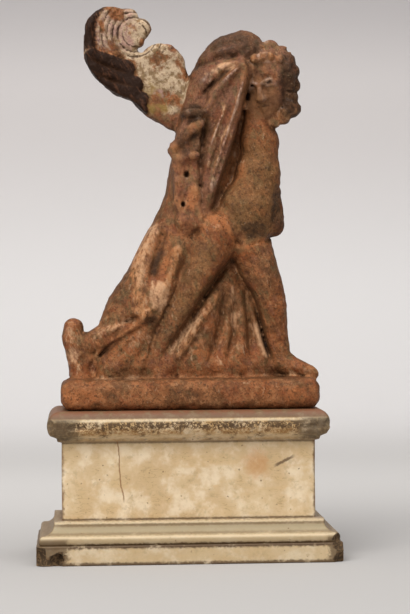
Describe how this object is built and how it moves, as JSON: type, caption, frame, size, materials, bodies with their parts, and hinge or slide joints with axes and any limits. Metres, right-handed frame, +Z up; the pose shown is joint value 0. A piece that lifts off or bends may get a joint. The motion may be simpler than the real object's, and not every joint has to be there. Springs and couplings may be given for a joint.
{
  "type": "eros statuette",
  "caption": "Terracotta statuette of a striding winged Eros in a hooded cloak, on its own slab and a moulded marble base, with one wing broken away.",
  "frame": {"origin": "centre of the marble base's underside", "axes": "+Z up, +X to the right of the figure's front as the viewer sees it, -Y towards the viewer"},
  "size_m": [0.1638, 0.0794, 0.3018],
  "materials": {
    "marble": "honed, cream yellow with brown dirt in the mouldings",
    "terracotta": "matt fired clay with patina and remains of pale slip"
  },
  "bodies": {
    "root": {"marble_base": "marble", "eros_figure": "terracotta"}
  },
  "joints": []
}
